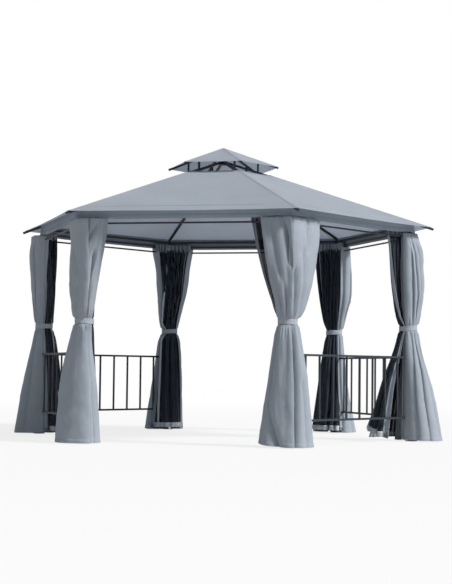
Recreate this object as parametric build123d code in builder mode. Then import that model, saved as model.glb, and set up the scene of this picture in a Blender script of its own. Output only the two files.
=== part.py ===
from build123d import *
from math import atan, cos, degrees, pi, radians, sin, sqrt
import os

# A hexagonal garden gazebo: a tube frame, a two-tier fabric roof and gathered curtains at its posts.
# Millimetres, +Z up. The origin is the middle of the hexagon at ground level, the front faces -Y.

# The plan: post 0 is on +X, the others follow anticlockwise, and side n runs from post n to post n + 1
corner_count = 6
sector = 360 / corner_count
half_sector = radians(sector / 2)
post_names = ["right", "back_right", "back_left", "left", "front_left", "front_right"]
side_names = ["back_right", "back", "back_left", "front_left", "front", "front_right"]
open_sides = [1, 4]

# Posts, their feet and the fit between a tube and the spigot inside it
post_circle_radius = 1775
post_diameter = 25
tube_wall = 1.5
fit = 0.3
spigot_length = 45
foot_diameter = 110
foot_thickness = 4
peg_circle_diameter = 80
peg_hole_diameter = 9
peg_hole_count = 2

# Eave beams, the curtain rails and net rods under them, and railings, by their centre lines
beam_size = 20
beam_below_hip = 44.5
curtain_rail_size = 16
curtain_rail_below_beam = 49
rod_diameter = 16
rod_below_beam = 109
rail_size = 18
top_rail_height = 759
bottom_rail_height = 214
bar_size = 14
bar_pitch = 190
bar_count = 8

# The main roof: the underside of its fabric along the hips, and the rafters that carry it
eave_radius = 1956
eave_height = 1948
roof_rise_per_run = 0.336
crown_radius = 450
fabric_thickness = 2
seam_gap = 0.3
rafter_size = 20
rafter_overhang = 14
hub_width = 76
hub_height = 46
hub_chamfer = 4

# The vented cap above the crown
cap_radius = 534
cap_above_hip = 102.5
cap_rise_per_run = 0.359
cap_top_radius = 12
cap_rafter_size = 16
cap_rafter_setback = 8
cap_hub_width = 56
cap_hub_height = 30
strut_radius = 335
strut_size = 16

# The valance under the eaves
valance_depth = 112
valance_gap = 6
notch_gap = 2

# Curtains gathered round the posts: how far they reach at the rods, the tie and the hem
curtain_reach_at_rod = 300
curtain_core_at_rod = 95
curtain_reach_at_tie = 78
curtain_reach_at_hem = 235
curtain_core_at_hem = 205
tie_height = 1025
hem_height = 8
curtain_levels = 3
curtain_points = 18
fold_depth = 0.09
gather_power = 0.7
lobe_power = 4
curtain_gap = 0.4

# Angles and lengths that follow from the sizes above
apothem = cos(half_sector)
post_radius = post_diameter / 2
side_length = 2 * post_circle_radius * sin(half_sector)
rod_spigot = (rod_diameter - 2 * tube_wall - 2 * fit) / sqrt(2)
clear_length = side_length - 2 * (post_radius + fit)
side_distance = post_circle_radius * apothem
hip_angle = atan(roof_rise_per_run)
rafter_end_radius = eave_radius + rafter_overhang
panel_rise = roof_rise_per_run / apothem
cross_fall = panel_rise * sin(half_sector)
cap_hip_angle = atan(cap_rise_per_run)
cap_rafter_end_radius = cap_radius - cap_rafter_setback
cap_cross_fall = cap_rise_per_run / apothem * sin(half_sector)
railing_sides = [side for side in range(corner_count) if side not in open_sides]


# The fabric's underside on a hip, at a distance from the middle
def hip_height(radius):
    return eave_height + roof_rise_per_run * (eave_radius - radius)


# The heights that hang on the roof: the cap's edge, the beams and the rods
cap_height = hip_height(cap_radius) + cap_above_hip
beam_height = hip_height(post_circle_radius) - beam_below_hip
curtain_rail_height = beam_height - curtain_rail_below_beam
rod_height = beam_height - rod_below_beam


def cap_hip_height(radius):
    return cap_height + cap_rise_per_run * (cap_radius - radius)


# Rafter centre lines lie below the hips, so that both panels pass over the rafter's top corners
def rafter_height(radius):
    drop = (rafter_size / 2) / cos(hip_angle) + cross_fall * rafter_size / 2 + fit
    return hip_height(radius) - drop


def cap_rafter_height(radius):
    drop = (cap_rafter_size / 2) / cos(cap_hip_angle) + cap_cross_fall * cap_rafter_size / 2 + fit
    return cap_hip_height(radius) - drop


def polar(radius, angle, height=0):
    return (radius * cos(radians(angle)), radius * sin(radians(angle)), height)


# A plane across a side at its middle: its normal runs along the side and its X points outward
def side_plane(side, height):
    angle = sector * (side + 0.5)
    return Plane(origin=polar(side_distance, angle, height), x_dir=polar(1, angle), z_dir=polar(1, angle + 90))


# A plane across a hip at a distance from the middle: its normal runs up the hip and its Y points up
def hip_plane(corner, radius, height, slope):
    angle = sector * corner
    uphill = (-cos(slope) * cos(radians(angle)), -cos(slope) * sin(radians(angle)), sin(slope))
    return Plane(origin=polar(radius, angle, height), x_dir=polar(1, angle - 90), z_dir=uphill)


# A plane at a post that faces along one of its two sides
def socket_plane(corner, turn, height):
    angle = sector * corner + turn
    origin = Vector(*polar(post_circle_radius, sector * corner, height)) + Vector(*polar(post_radius - tube_wall / 2, angle))
    return Plane(origin=origin, x_dir=(0, 0, 1), z_dir=polar(1, angle))


# The directions from a post to its two sides, each with the number of the side
def post_sides(corner):
    turn = 90 + sector / 2
    return [(turn, corner), (-turn, (corner - 1) % corner_count)]


os.makedirs("parts", exist_ok=True)

# Posts: a tube with a round foot, and spigots that the beams, rods and rails are pushed onto
for corner, name in enumerate(post_names):
    centre = polar(post_circle_radius, sector * corner)
    with BuildPart() as post:
        with BuildSketch(Plane(origin=centre)):
            Circle(foot_diameter / 2)
            with PolarLocations(peg_circle_diameter / 2, peg_hole_count, start_angle=sector * corner + 90):
                Circle(peg_hole_diameter / 2, mode=Mode.SUBTRACT)
        extrude(amount=foot_thickness)
        with BuildSketch(Plane(origin=centre)):
            Circle(post_radius)
        extrude(amount=hip_height(post_circle_radius))
        reach = spigot_length + tube_wall / 2
        for turn, side in post_sides(corner):
            with BuildSketch(socket_plane(corner, turn, beam_height)):
                Rectangle(beam_size - 2 * tube_wall - 2 * fit, beam_size - 2 * tube_wall - 2 * fit)
            extrude(amount=reach)
            with BuildSketch(socket_plane(corner, turn, curtain_rail_height)):
                Rectangle(curtain_rail_size - 2 * tube_wall - 2 * fit, curtain_rail_size - 2 * tube_wall - 2 * fit)
            extrude(amount=reach)
            with BuildSketch(socket_plane(corner, turn, rod_height)):
                Rectangle(rod_spigot, rod_spigot)
            extrude(amount=reach)
            if side in railing_sides:
                for height in (top_rail_height, bottom_rail_height):
                    with BuildSketch(socket_plane(corner, turn, height)):
                        Rectangle(rail_size - 2 * tube_wall - 2 * fit, rail_size - 2 * tube_wall - 2 * fit)
                    extrude(amount=reach)
        underside = hip_plane(corner, post_circle_radius, rafter_height(post_circle_radius), hip_angle)
        seat = Plane(origin=underside.origin, x_dir=underside.z_dir, z_dir=underside.y_dir)
        split(bisect_by=seat.offset(-rafter_size / 2), keep=Keep.BOTTOM)
    post.part.label = "post_" + name
    export_step(post.part, "parts/post_" + name + ".step")

# Eave beams: on each side a square tube from post to post, with the curtain rail under it
for side, name in enumerate(side_names):
    with BuildPart() as beam:
        with BuildSketch(side_plane(side, beam_height)):
            Rectangle(beam_size, beam_size)
            Rectangle(beam_size - 2 * tube_wall, beam_size - 2 * tube_wall, mode=Mode.SUBTRACT)
        extrude(amount=clear_length / 2, both=True)
        with BuildSketch(side_plane(side, curtain_rail_height)):
            Rectangle(curtain_rail_size, curtain_rail_size)
            Rectangle(curtain_rail_size - 2 * tube_wall, curtain_rail_size - 2 * tube_wall, mode=Mode.SUBTRACT)
        extrude(amount=clear_length / 2, both=True)
    beam.part.label = "beam_" + name
    export_step(beam.part, "parts/beam_" + name + ".step")

# Net rods: round tubes under the curtain rails
for side, name in enumerate(side_names):
    with BuildPart() as rod:
        with BuildSketch(side_plane(side, rod_height)):
            Circle(rod_diameter / 2)
            Circle(rod_diameter / 2 - tube_wall, mode=Mode.SUBTRACT)
        extrude(amount=clear_length / 2, both=True)
    rod.part.label = "net_rod_" + name
    export_step(rod.part, "parts/net_rod_" + name + ".step")

# Railings: two square tubes with upright bars between them
for side in railing_sides:
    name = side_names[side]
    with BuildPart() as railing:
        for height in (top_rail_height, bottom_rail_height):
            with BuildSketch(side_plane(side, height)):
                Rectangle(rail_size, rail_size)
                Rectangle(rail_size - 2 * tube_wall, rail_size - 2 * tube_wall, mode=Mode.SUBTRACT)
            extrude(amount=clear_length / 2, both=True)
        middle = side_plane(side, bottom_rail_height + rail_size / 2)
        floor = Plane(origin=middle.origin, x_dir=middle.z_dir, z_dir=(0, 0, 1))
        with BuildSketch(floor):
            with GridLocations(bar_pitch, 1, bar_count, 1):
                Rectangle(bar_size, bar_size)
        extrude(amount=top_rail_height - bottom_rail_height - rail_size)
    railing.part.label = "railing_" + name
    export_step(railing.part, "parts/railing_" + name + ".step")

# Rafters: square tubes from past the posts up to the hub, closed at their outer ends
rafter_start_radius = hub_width / 2 + fit + rafter_size / 2 * sin(hip_angle)
rafter_length = (rafter_end_radius - rafter_start_radius) / cos(hip_angle)
for corner, name in enumerate(post_names):
    with BuildPart() as rafter:
        foot = hip_plane(corner, rafter_end_radius, rafter_height(rafter_end_radius), hip_angle)
        with BuildSketch(foot):
            Rectangle(rafter_size, rafter_size)
        extrude(amount=rafter_length)
        with BuildSketch(foot.offset(tube_wall)):
            Rectangle(rafter_size - 2 * tube_wall, rafter_size - 2 * tube_wall)
        extrude(amount=rafter_length, mode=Mode.SUBTRACT)
    rafter.part.label = "rafter_" + name
    export_step(rafter.part, "parts/rafter_" + name + ".step")

# The six-sided hub: each rafter meets one of its flats, with a spigot of the hub inside it
with BuildPart() as hub:
    hub_middle = rafter_height(hub_width / 2)
    with BuildSketch(Plane.XY.offset(hub_middle - hub_height / 2)):
        RegularPolygon(hub_width / 2, corner_count, major_radius=False, rotation=sector / 2)
    extrude(amount=hub_height)
    chamfer(hub.faces().filter_by(Axis.Z).edges(), length=hub_chamfer)
    for corner in range(corner_count):
        root = hip_plane(corner, hub_width / 4, rafter_height(hub_width / 4), hip_angle)
        with BuildSketch(root):
            Rectangle(rafter_size - 2 * tube_wall - 2 * fit, rafter_size - 2 * tube_wall - 2 * fit)
        extrude(amount=-(spigot_length + hub_width / 4))
hub.part.label = "roof_hub"
export_step(hub.part, "parts/roof_hub.step")

# The cap's frame: six rafters on a small hub, each with a strut that stands on a main rafter
with BuildPart() as cap_frame:
    cap_hub_corner = cap_hub_width / 2 / apothem
    cap_hub_top = cap_hip_height(0) - cap_rise_per_run / apothem * cap_hub_corner - fit
    with BuildSketch(Plane.XY.offset(cap_hub_top - cap_hub_height)):
        RegularPolygon(cap_hub_width / 2, corner_count, major_radius=False, rotation=sector / 2)
    extrude(amount=cap_hub_height)
    for corner in range(corner_count):
        angle = sector * corner
        outer_end = hip_plane(corner, cap_rafter_end_radius, cap_rafter_height(cap_rafter_end_radius), cap_hip_angle)
        with BuildSketch(outer_end):
            Rectangle(cap_rafter_size, cap_rafter_size)
        extrude(amount=(cap_rafter_end_radius - cap_hub_width / 4) / cos(cap_hip_angle))
        inner = strut_radius - strut_size / 2
        outer = strut_radius + strut_size / 2
        rise_to_top = (rafter_size / 2) / cos(hip_angle)
        with BuildSketch(Plane(origin=(0, 0, 0), x_dir=polar(1, angle), z_dir=polar(1, angle - 90))):
            with BuildLine():
                Polyline(
                    (inner, rafter_height(inner) + rise_to_top),
                    (outer, rafter_height(outer) + rise_to_top),
                    (outer, cap_rafter_height(outer)),
                    (inner, cap_rafter_height(inner)),
                    close=True,
                )
            make_face()
        extrude(amount=strut_size / 2, both=True)
cap_frame.part.label = "cap_frame"
export_step(cap_frame.part, "parts/cap_frame.step")

# Canopy: six sloping panels that meet over the rafters and leave the crown open
for side, name in enumerate(side_names):
    angle = sector * (side + 0.5)
    slope = atan(panel_rise)
    eave_distance = eave_radius * apothem
    slant = (eave_radius - crown_radius) * apothem / cos(slope)
    normal = (sin(slope) * cos(radians(angle)), sin(slope) * sin(radians(angle)), cos(slope))
    with BuildPart() as panel:
        eave = Plane(origin=polar(eave_distance, angle, eave_height), x_dir=polar(1, angle + 90), z_dir=normal)
        half_eave = eave_radius * sin(half_sector) - seam_gap
        half_crown = crown_radius * sin(half_sector) - seam_gap
        with BuildSketch(eave):
            with BuildLine():
                Polyline((-half_eave, 0), (half_eave, 0), (half_crown, slant), (-half_crown, slant), close=True)
            make_face()
        extrude(amount=fabric_thickness)
    panel.part.label = "canopy_" + name
    export_step(panel.part, "parts/canopy_" + name + ".step")

# The cap's fabric: a hexagonal pyramid shell
with BuildPart() as cap:
    cap_panel_rise = cap_rise_per_run / apothem
    cap_lean = 90 - degrees(atan(cap_panel_rise))
    cap_rise = cap_rise_per_run * (cap_radius - cap_top_radius)
    lift = fabric_thickness * sqrt(1 + cap_panel_rise**2)
    with BuildSketch(Plane.XY.offset(cap_height)):
        RegularPolygon(cap_radius + lift / cap_rise_per_run, corner_count)
    extrude(amount=cap_rise + lift, taper=cap_lean)
    with BuildSketch(Plane.XY.offset(cap_height)):
        RegularPolygon(cap_radius, corner_count)
    extrude(amount=cap_rise, taper=cap_lean, mode=Mode.SUBTRACT)
cap.part.label = "cap_canopy"
export_step(cap.part, "parts/cap_canopy.step")

# The valance: a straight strip round the eaves, notched where the rafters pass
with BuildPart() as valance:
    inner_distance = side_distance + beam_size / 2 + valance_gap
    outer_distance = inner_distance + fabric_thickness
    valance_top = eave_height + panel_rise * (eave_radius * apothem - outer_distance)
    valance_bottom = valance_top - valance_depth
    with BuildSketch(Plane.XY.offset(valance_bottom)):
        RegularPolygon(outer_distance / apothem, corner_count)
        RegularPolygon(inner_distance / apothem, corner_count, mode=Mode.SUBTRACT)
    extrude(amount=valance_depth)
    for corner in range(corner_count):
        with BuildSketch(hip_plane(corner, rafter_end_radius, rafter_height(rafter_end_radius), hip_angle)):
            with Locations((0, rafter_size)):
                Rectangle(rafter_size + 2 * notch_gap, 3 * rafter_size + 2 * notch_gap)
        extrude(amount=rafter_end_radius - post_circle_radius + post_diameter, mode=Mode.SUBTRACT)
valance.part.label = "valance"
export_step(valance.part, "parts/valance.step")


# The plan of a gathered curtain: a folded ring that reaches out along the two rods at +-120 degrees
def curtain_outline(plane, core, reach):
    rod_turn = radians(90 + sector / 2)
    points = []
    for point in range(curtain_points):
        turn = 2 * pi * point / curtain_points
        along_rod = max(cos(turn - rod_turn), cos(turn + rod_turn), 0) ** lobe_power
        radius = core + (reach - core) * along_rod
        radius = radius * (1 + fold_depth * (-1) ** point)
        points.append(plane.from_local_coords((radius * cos(turn), radius * sin(turn), 0)))
    return points


# A closed solid of flat facets through a stack of outlines, each facet a triangle between two of them
def stacked_solid(outlines):
    facets = [Face(Wire.make_polygon(outlines[0])), Face(Wire.make_polygon(outlines[-1]))]
    for lower, upper in zip(outlines, outlines[1:]):
        for point in range(curtain_points):
            following = (point + 1) % curtain_points
            facets.append(Face(Wire.make_polygon([lower[point], lower[following], upper[following]])))
            facets.append(Face(Wire.make_polygon([lower[point], upper[following], upper[point]])))
    return Solid(Shell(facets))


# Curtains: narrow at the tie, tucked behind the valance, and open along the post, rails and net rods
curtain_top = curtain_rail_height - curtain_rail_size / 2 - fit
for corner, name in enumerate(post_names):
    angle = sector * corner
    outlines = []
    for level in range(-curtain_levels, curtain_levels + 1):
        spread = abs(level) / curtain_levels
        share = spread ** (1 / gather_power)
        end_height = curtain_top if level > 0 else hem_height
        end_core = curtain_core_at_rod if level > 0 else curtain_core_at_hem
        end_reach = curtain_reach_at_rod if level > 0 else curtain_reach_at_hem
        height = tie_height + share * (end_height - tie_height)
        core = curtain_reach_at_tie + spread * (end_core - curtain_reach_at_tie)
        reach = curtain_reach_at_tie + spread * (end_reach - curtain_reach_at_tie)
        level_plane = Plane(origin=polar(post_circle_radius, angle, height), x_dir=polar(1, angle))
        outlines.append(curtain_outline(level_plane, core, reach))
    with BuildPart() as curtain:
        add(stacked_solid(outlines))
        with BuildSketch(Plane(origin=polar(post_circle_radius, angle, hem_height))):
            Circle(post_radius + curtain_gap)
        extrude(amount=curtain_top - hem_height, mode=Mode.SUBTRACT)
        with BuildSketch(Plane.XY.offset(valance_bottom - curtain_gap)):
            RegularPolygon(post_circle_radius + 2 * curtain_reach_at_rod, corner_count)
            RegularPolygon((inner_distance - curtain_gap) / apothem, corner_count, mode=Mode.SUBTRACT)
        extrude(amount=valance_depth, mode=Mode.SUBTRACT)
        for turn, side in post_sides(corner):
            slots = [(rod_height - rod_diameter / 2, curtain_top, rod_diameter)]
            if side in railing_sides:
                slots.append((bottom_rail_height - rail_size / 2, top_rail_height + rail_size / 2, rail_size))
            for bottom, top, width in slots:
                slot_origin = polar(post_circle_radius, angle, bottom - curtain_gap)
                with BuildSketch(Plane(origin=slot_origin, x_dir=polar(1, angle + turn))):
                    with Locations((curtain_reach_at_rod, 0)):
                        Rectangle(2 * curtain_reach_at_rod, width + 2 * curtain_gap)
                extrude(amount=top - bottom + 2 * curtain_gap, mode=Mode.SUBTRACT)
    curtain.part.label = "curtain_" + name
    export_step(curtain.part, "parts/curtain_" + name + ".step")
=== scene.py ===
from math import atan, cos, degrees, exp, pi, radians, sin, sqrt

import bpy
import numpy as np
from mathutils import Matrix, Vector, noise


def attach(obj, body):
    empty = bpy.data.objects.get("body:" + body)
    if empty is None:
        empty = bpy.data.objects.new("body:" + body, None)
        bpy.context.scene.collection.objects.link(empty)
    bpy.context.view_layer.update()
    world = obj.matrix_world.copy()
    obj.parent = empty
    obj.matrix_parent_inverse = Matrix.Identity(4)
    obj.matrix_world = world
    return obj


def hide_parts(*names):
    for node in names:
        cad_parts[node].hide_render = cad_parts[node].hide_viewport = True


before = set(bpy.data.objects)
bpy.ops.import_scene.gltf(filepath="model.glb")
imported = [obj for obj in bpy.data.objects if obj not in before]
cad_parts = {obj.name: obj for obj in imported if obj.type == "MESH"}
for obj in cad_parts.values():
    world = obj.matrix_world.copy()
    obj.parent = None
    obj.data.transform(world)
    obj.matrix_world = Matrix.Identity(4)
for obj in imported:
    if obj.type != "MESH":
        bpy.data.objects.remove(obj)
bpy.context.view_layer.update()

# Degrees from one post to the next, and how far out a hexagon's sides are when its corners are at 1
SECTOR = 60
APOTHEM = cos(pi / 6)
# The gazebo's own sizes in metres, from the part's source, with the heights of rail and rod rounded
POST_CIRCLE = 1.775
HALF_SIDE = POST_CIRCLE / 2
SIDE_DISTANCE = POST_CIRCLE * APOTHEM
EAVE_RADIUS = 1.956
EAVE_HEIGHT = 1.948
ROOF_RISE = 0.336
CROWN_RADIUS = 0.450
RAFTER_OVERHANG = 0.014
CAP_RADIUS = 0.534
CAP_RISE = 0.359
CAP_ABOVE_HIP = 0.1025
CAP_RAFTER_SETBACK = 0.008
VALANCE_DISTANCE = SIDE_DISTANCE + 0.017
VALANCE_BOTTOM = 1.8898
RAIL_HEIGHT = 1.915
ROD_HEIGHT = 1.855
RAILING_HEIGHTS = (0.759, 0.214)
RAILING_TUBE = 0.018
TIE_HEIGHT = 1.025
# The cloth is about 0.3 mm thick, and drawn thicker so that its edges show
CLOTH = 0.0012

POSTS = ["right", "back_right", "back_left", "left", "front_left", "front_right"]
SIDES = ["back_right", "back", "back_left", "front_left", "front", "front_right"]
RAILING_SIDES = ["back_right", "back_left", "front_left", "front_right"]


def hip_height(radius):
    return EAVE_HEIGHT + ROOF_RISE * (EAVE_RADIUS - radius)


CAP_HEIGHT = hip_height(CAP_RADIUS) + CAP_ABOVE_HIP


def cap_hip_height(radius):
    return CAP_HEIGHT + CAP_RISE * (CAP_RADIUS - radius)


def polar(radius, angle, height=0.0):
    return Vector((radius * cos(radians(angle)), radius * sin(radians(angle)), height))


# The direction in which a side of the gazebo faces
def facing(side):
    return SECTOR * side + SECTOR / 2


# The camera stands low in front of the gazebo, to the right of its middle
def set_camera():
    yaw, pitch, roll = 0.2021, 0.0545, 0.0110
    standpoint = (2.734, -13.143, 0.627)
    level_right = Vector((cos(yaw), sin(yaw), 0))
    level_ahead = Vector((-sin(yaw), cos(yaw), 0))
    down = Vector((0, 0, -1)) * cos(pitch) + level_ahead * sin(pitch)
    ahead = level_ahead * cos(pitch) + Vector((0, 0, 1)) * sin(pitch)
    right = level_right * cos(roll) - down * sin(roll)
    down = level_right * sin(roll) + down * cos(roll)
    lens = bpy.data.cameras.new("camera")
    lens.sensor_width = 36
    lens.lens = 88.13
    lens.clip_end = 200
    camera = bpy.data.objects.new("camera", lens)
    turned = Matrix((right, -down, -ahead)).transposed()
    camera.matrix_world = Matrix.Translation(standpoint) @ turned.to_4x4()
    bpy.context.scene.collection.objects.link(camera)
    bpy.context.scene.camera = camera


set_camera()


# Colours are written in sRGB, and the shaders take them linear
def linear(hex_colour):
    channels = [int(hex_colour[i:i + 2], 16) / 255 for i in (0, 2, 4)]
    return tuple(c / 12.92 if c <= 0.04045 else ((c + 0.055) / 1.055) ** 2.4 for c in channels) + (1.0,)


# Adds a node with its settings, its links from a socket or a node's first output, and a ramp's colours
def node(tree, kind, links=None, stops=(), **settings):
    made = tree.nodes.new(kind)
    for name, value in settings.items():
        if hasattr(made, name):
            setattr(made, name, value)
        else:
            made.inputs[name.replace("_", " ")].default_value = value
    for name, source in (links or {}).items():
        socket = source.outputs[0] if isinstance(source, bpy.types.Node) else source
        tree.links.new(socket, made.inputs[name])
    for number, (place, colour) in enumerate(stops):
        made.color_ramp.elements[number].position = place
        made.color_ramp.elements[number].color = linear(colour)
    return made


def blank_material(name):
    material = bpy.data.materials.new(name)
    material.use_nodes = True
    material.node_tree.nodes.clear()
    return material, material.node_tree


# A wave texture at a scale of 1 has about this many bands in a metre
WAVE_BANDS = 3.2


# Woven polyester: matt, with faint slubs along the threads, and a little light comes through it
def woven_polyester(name, colour, worn, let_through, thread=0.0035):
    material, tree = blank_material(name)
    uv = node(tree, "ShaderNodeTexCoord").outputs["UV"]
    # Threads are 0.5 mm apart on the real cloth, drawn 3.5 mm apart, and 5 mm on tape, so that they show
    bands = 1 / thread / WAVE_BANDS
    warp, weft = [
        node(tree, "ShaderNodeTexWave", {"Vector": uv}, bands_direction=way, Scale=bands, Distortion=0.6)
        for way in ("X", "Y")
    ]
    weave = node(
        tree, "ShaderNodeMath", {0: warp.outputs["Fac"], 1: weft.outputs["Fac"]}, operation="MULTIPLY",
    )
    along = node(tree, "ShaderNodeMapping", {"Vector": uv}, Scale=(26, 3, 1))
    slubs = node(tree, "ShaderNodeTexNoise", {"Vector": along}, Scale=6, Detail=4, Roughness=0.6)
    place = node(tree, "ShaderNodeTexCoord").outputs["Object"]
    clouds = node(tree, "ShaderNodeTexNoise", {"Vector": place}, Scale=1.7, Detail=5, Roughness=0.62)
    tone = node(
        tree, "ShaderNodeMath", {0: clouds.outputs["Fac"], 1: slubs.outputs["Fac"]}, operation="MULTIPLY",
    )
    tint = node(tree, "ShaderNodeValToRGB", {"Fac": tone}, stops=[(0.12, worn), (0.38, colour)])
    crinkle = node(tree, "ShaderNodeTexNoise", {"Vector": place}, Scale=38, Detail=3, Roughness=0.5)
    fine = node(tree, "ShaderNodeBump", {"Height": weave}, Strength=0.12, Distance=0.0006)
    bump = node(
        tree, "ShaderNodeBump", {"Height": crinkle.outputs["Fac"], "Normal": fine},
        Strength=0.16, Distance=0.003,
    )
    rough = node(tree, "ShaderNodeMapRange", {"Value": slubs.outputs["Fac"]}, To_Min=0.78, To_Max=0.92)
    cloth = node(
        tree, "ShaderNodeBsdfPrincipled", {"Base Color": tint, "Roughness": rough, "Normal": bump},
        Sheen_Weight=0.06, Sheen_Roughness=0.5, IOR=1.45,
    )
    glow = node(tree, "ShaderNodeBsdfTranslucent", {"Color": tint, "Normal": bump})
    mixed = node(tree, "ShaderNodeMixShader", {1: cloth, 2: glow}, Fac=let_through)
    node(tree, "ShaderNodeOutputMaterial", {"Surface": mixed})
    return material


# Powder-coated steel: a baked satin coat with a fine orange peel, a little dusty where rain dries
def powder_coated_steel(name, colour, dust_and_fold_highlight, gloss):
    material, tree = blank_material(name)
    place = node(tree, "ShaderNodeTexCoord").outputs["Object"]
    # The peel's bumps are about 1 mm apart, drawn at 4 mm so that they show
    peel = node(tree, "ShaderNodeTexNoise", {"Vector": place}, Scale=250, Detail=2, Roughness=0.5)
    clouds = node(tree, "ShaderNodeTexNoise", {"Vector": place}, Scale=5, Detail=6, Roughness=0.65)
    tint = node(
        tree, "ShaderNodeValToRGB", {"Fac": clouds.outputs["Fac"]}, stops=[(0.35, colour), (0.75, dust_and_fold_highlight)],
    )
    rough = node(
        tree, "ShaderNodeMapRange", {"Value": clouds.outputs["Fac"]}, To_Min=gloss, To_Max=gloss + 0.22,
    )
    bump = node(tree, "ShaderNodeBump", {"Height": peel.outputs["Fac"]}, Strength=0.08, Distance=0.0008)
    coat = node(
        tree, "ShaderNodeBsdfPrincipled", {"Base Color": tint, "Roughness": rough, "Normal": bump}, IOR=1.5,
    )
    node(tree, "ShaderNodeOutputMaterial", {"Surface": coat})
    return material


# Knitted polyester netting: dark and fine, so that folds over each other go nearly black, with a painted
# highlight in long streaks down its folds
def knitted_net(name, colour, dust_and_fold_highlight):
    material, tree = blank_material(name)
    uv = node(tree, "ShaderNodeTexCoord").outputs["UV"]
    # The holes are 1.5 mm apart, drawn about 6 mm apart so that they show
    turned = node(tree, "ShaderNodeMapping", {"Vector": uv}, Rotation=(0, 0, pi / 4))
    mesh = node(tree, "ShaderNodeTexVoronoi", {"Vector": turned}, feature="F1", Scale=160, Randomness=0.05)
    # Lighter streaks down the net's long folds are a painted highlight on the folds
    long_folds = node(tree, "ShaderNodeMapping", {"Vector": uv}, Scale=(30, 1.2, 1))
    painted_fold_highlights = node(tree, "ShaderNodeTexNoise", {"Vector": long_folds}, Scale=1.5, Detail=4, Roughness=0.6)
    tint = node(
        tree, "ShaderNodeValToRGB", {"Fac": painted_fold_highlights.outputs["Fac"]}, stops=[(0.42, colour), (0.72, dust_and_fold_highlight)],
    )
    bump = node(tree, "ShaderNodeBump", {"Height": mesh.outputs["Distance"]}, Strength=0.2, Distance=0.001)
    net = node(
        tree, "ShaderNodeBsdfPrincipled", {"Base Color": tint, "Normal": bump},
        Roughness=0.8, Sheen_Weight=0.1, Sheen_Roughness=0.4, IOR=1.45, Alpha=0.82,
    )
    node(tree, "ShaderNodeOutputMaterial", {"Surface": net})
    return material


# Moulded nylon: smooth and dull, as small hooks and caps come out of the mould
def moulded_nylon(name, colour, pale):
    material, tree = blank_material(name)
    place = node(tree, "ShaderNodeTexCoord").outputs["Object"]
    marks = node(tree, "ShaderNodeTexNoise", {"Vector": place}, Scale=60, Detail=4, Roughness=0.6)
    tint = node(
        tree, "ShaderNodeValToRGB", {"Fac": marks.outputs["Fac"]}, stops=[(0.4, colour), (0.8, pale)],
    )
    rough = node(tree, "ShaderNodeMapRange", {"Value": marks.outputs["Fac"]}, To_Min=0.42, To_Max=0.6)
    bump = node(tree, "ShaderNodeBump", {"Height": marks.outputs["Fac"]}, Strength=0.05, Distance=0.0005)
    body = node(
        tree, "ShaderNodeBsdfPrincipled", {"Base Color": tint, "Roughness": rough, "Normal": bump},
        IOR=1.53,
    )
    node(tree, "ShaderNodeOutputMaterial", {"Surface": body})
    return material


# Zinc-plated steel: bright passivated bolts, gone a little dull and blotched in the weather
def zinc_plated_steel(name, colour, dull):
    material, tree = blank_material(name)
    place = node(tree, "ShaderNodeTexCoord").outputs["Object"]
    blotches = node(tree, "ShaderNodeTexNoise", {"Vector": place}, Scale=180, Detail=4, Roughness=0.6)
    tint = node(
        tree, "ShaderNodeValToRGB", {"Fac": blotches.outputs["Fac"]}, stops=[(0.4, colour), (0.7, dull)],
    )
    rough = node(tree, "ShaderNodeMapRange", {"Value": blotches.outputs["Fac"]}, To_Min=0.34, To_Max=0.52)
    plated = node(tree, "ShaderNodeBsdfPrincipled", {"Base Color": tint, "Roughness": rough}, Metallic=1.0)
    node(tree, "ShaderNodeOutputMaterial", {"Surface": plated})
    return material


roof_cloth = woven_polyester("roof_woven_polyester", "C0C7CF", "B6BDC6", 0.52)
valance_cloth = woven_polyester("doubled_woven_polyester", "959EA8", "8A939D", 0.06)
curtain_cloth = woven_polyester("curtain_woven_polyester", "9EA7B1", "919AA4", 0.10)
band_cloth = woven_polyester("woven_tape", "A8B0B9", "989FA8", 0.08, thread=0.005)
# The same woven tape drawn lighter for the nets' hems and selvedges: painted light on bands that hang in the
# roof's shade
painted_light_tape = woven_polyester("woven_tape_with_painted_light", "CDD2D8", "BAC0C7", 0.15, thread=0.005)
header_cloth = woven_polyester("pleated_woven_tape", "7C848E", "6E7680", 0.06, thread=0.005)
# The netting's second, lighter colour is the painted highlight along its folds
net_cloth = knitted_net("knitted_netting", "171F2A", "303B49")
frame_coat = powder_coated_steel("charcoal_powder_coated_steel", "171C24", "242A33", 0.42)
railing_coat = powder_coated_steel("railing_powder_coated_steel", "1A2129", "242B34", 0.60)
nylon = moulded_nylon("moulded_nylon", "1C2127", "2B3138")
zinc = zinc_plated_steel("zinc_plated_steel", "8E9296", "6F7478")


# Makes a thing the active one and the only one selected
def only(thing):
    bpy.ops.object.select_all(action="DESELECT")
    bpy.context.view_layer.objects.active = thing
    thing.select_set(True)


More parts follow.
